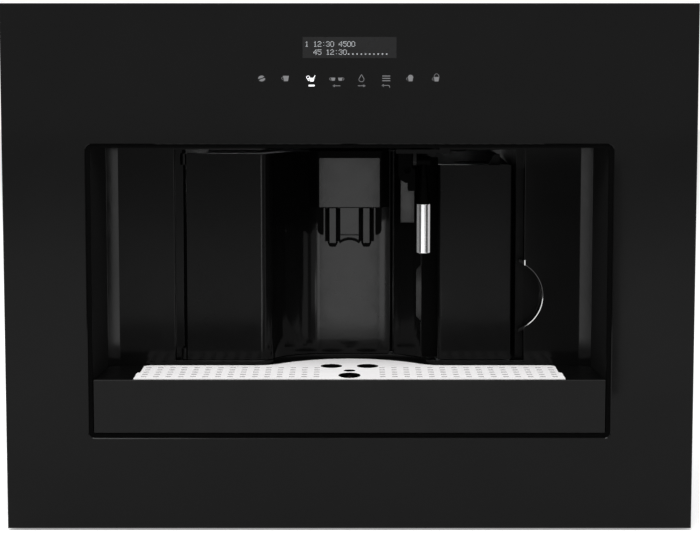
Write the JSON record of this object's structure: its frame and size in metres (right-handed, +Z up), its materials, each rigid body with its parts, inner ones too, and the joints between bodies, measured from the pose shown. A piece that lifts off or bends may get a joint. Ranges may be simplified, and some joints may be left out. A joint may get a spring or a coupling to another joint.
{
  "type": "built-in coffee machine",
  "caption": "Built-in coffee machine with a black glass front, recessed cup bay, pierced cup grille, steam wand and water tank, sliding out on telescopic runners.",
  "frame": {"origin": "on the cabinet floor under the middle of the machine", "axes": "+X to the viewer's right, +Y back into the cabinet, +Z up; the glass front faces -Y"},
  "size_m": [0.595, 0.4096, 0.457],
  "materials": {
    "glass_black": "gloss",
    "gloss_black": "gloss",
    "satin_black": "satin",
    "display": "satin",
    "pale_steel": "satin",
    "chrome": "polished",
    "zinc_steel": "satin",
    "grey_plastic": "matt",
    "smoked_plastic": "gloss",
    "board": "matt",
    "cast_aluminium": "cast",
    "float_red": "satin",
    "burr_steel": "ground",
    "white_plastic": "matt"
  },
  "bodies": {
    "cabinet_rails": {"cabinet_rail_left": "zinc_steel", "cabinet_rail_right": "zinc_steel"},
    "runner_middles": {"middle_rail_left": "zinc_steel", "middle_rail_right": "zinc_steel"},
    "machine": {"front_panel": "glass_black", "display_window": "display", "panel_frame": "satin_black", "control_board": "board", "bay_liner": "gloss_black", "door_hinge_pin_upper": "zinc_steel", "door_hinge_pin_lower": "zinc_steel", "nozzle_housing": "gloss_black", "steam_connector": "satin_black", "connector_cover": "gloss_black", "wand_pivot_pin": "zinc_steel", "tank_cradle": "grey_plastic", "chassis_base": "zinc_steel", "bulkhead_left": "zinc_steel", "bulkhead_right": "zinc_steel", "lower_deck": "zinc_steel", "partition": "zinc_steel", "upper_deck": "zinc_steel", "side_cover_left": "zinc_steel", "side_cover_right": "zinc_steel", "top_cover": "zinc_steel", "rear_cover": "zinc_steel", "machine_rail_left": "zinc_steel", "machine_rail_right": "zinc_steel", "brew_unit": "grey_plastic", "grounds_container": "satin_black", "bean_hopper": "smoked_plastic", "grinder": "cast_aluminium", "ground_coffee_chute": "satin_black", "boiler": "cast_aluminium", "water_pump": "cast_aluminium", "power_board": "board", "mains_inlet": "satin_black", "switch_bezel": "satin_black"},
    "drip_tray": {"drip_tray": "satin_black", "tray_front": "satin_black"},
    "cup_grille": {"cup_grille": "pale_steel"},
    "tray_float": {"drip_level_float": "float_red"},
    "service_door": {"service_door": "gloss_black", "door_inner_cover": "grey_plastic", "spout_rail": "satin_black"},
    "coffee_spout": {"spout_housing": "gloss_black", "spout_face_plate": "gloss_black", "nozzle_block": "gloss_black"},
    "steam_wand": {"wand_holder": "satin_black", "steam_wand": "chrome"},
    "water_tank": {"water_tank": "smoked_plastic", "tank_front": "gloss_black", "tank_lid": "satin_black", "tank_valve": "grey_plastic"},
    "brew_piston": {"brew_piston": "white_plastic"},
    "hopper_lid": {"hopper_lid": "smoked_plastic"},
    "chute_lid": {"chute_lid": "satin_black"},
    "grind_knob": {"grind_knob": "satin_black"},
    "grinder_burr": {"grinder_burr": "burr_steel"},
    "main_switch": {"main_switch": "satin_black"}
  },
  "joints": [
    {"name": "machine_slide", "type": "slide", "parent": "cabinet_rails", "child": "machine", "axis": [0, -1, 0], "range_m": [0, 0.33]},
    {"name": "runner_mid_slide", "type": "slide", "parent": "cabinet_rails", "child": "runner_middles", "axis": [0, -1, 0], "range_m": [0, 0.165]},
    {"name": "service_door_hinge", "type": "hinge", "parent": "machine", "child": "service_door", "pos_m": [-0.1485, -0.12677, 0.229], "axis": [0, 0, 1], "range_deg": [-90, 0]},
    {"name": "spout_height", "type": "slide", "parent": "service_door", "child": "coffee_spout", "axis": [0, 0, -1], "range_m": [0, 0.045]},
    {"name": "drip_tray_slide", "type": "slide", "parent": "machine", "child": "drip_tray", "axis": [0, -1, 0], "range_m": [0, 0.13]},
    {"name": "cup_grille_lift", "type": "slide", "parent": "drip_tray", "child": "cup_grille", "axis": [0, 0, 1], "range_m": [0, 0.06]},
    {"name": "tray_float_rise", "type": "slide", "parent": "drip_tray", "child": "tray_float", "axis": [0, 0, 1], "range_m": [0, 0.009]},
    {"name": "water_tank_slide", "type": "slide", "parent": "machine", "child": "water_tank", "axis": [0, 1, 0], "range_m": [-0.19, 0]},
    {"name": "wand_swivel", "type": "hinge", "parent": "machine", "child": "steam_wand", "pos_m": [0.0655, -0.14977, 0.319], "axis": [-1, 0, 0], "range_deg": [0, 40]},
    {"name": "hopper_lid_hinge", "type": "hinge", "parent": "machine", "child": "hopper_lid", "pos_m": [-0.065, 0.12923, 0.4489], "axis": [-1, 0, 0], "range_deg": [0, 80]},
    {"name": "chute_lid_hinge", "type": "hinge", "parent": "machine", "child": "chute_lid", "pos_m": [-0.016, -0.02177, 0.4489], "axis": [-1, 0, 0], "range_deg": [0, 90]},
    {"name": "grind_knob_turn", "type": "hinge", "parent": "machine", "child": "grind_knob", "pos_m": [0.046, 0.05723, 0.45], "axis": [0, 0, 1], "range_deg": [-135, 135]},
    {"name": "grinder_burr_spin", "type": "hinge", "parent": "machine", "child": "grinder_burr", "pos_m": [-0.065, 0.05723, 0.372], "axis": [0, 0, 1], "continuous": true},
    {"name": "brew_piston_stroke", "type": "slide", "parent": "machine", "child": "brew_piston", "axis": [0, 0, 1], "range_m": [0, 0.04]},
    {"name": "main_switch_rock", "type": "hinge", "parent": "machine", "child": "main_switch", "pos_m": [0.205, 0.19823, 0.11], "axis": [1, 0, 0], "range_deg": [0, 16]}
  ],
  "couplings": [
    {"joint": "runner_mid_slide", "follows": "machine_slide", "ratio": 0.5}
  ]
}
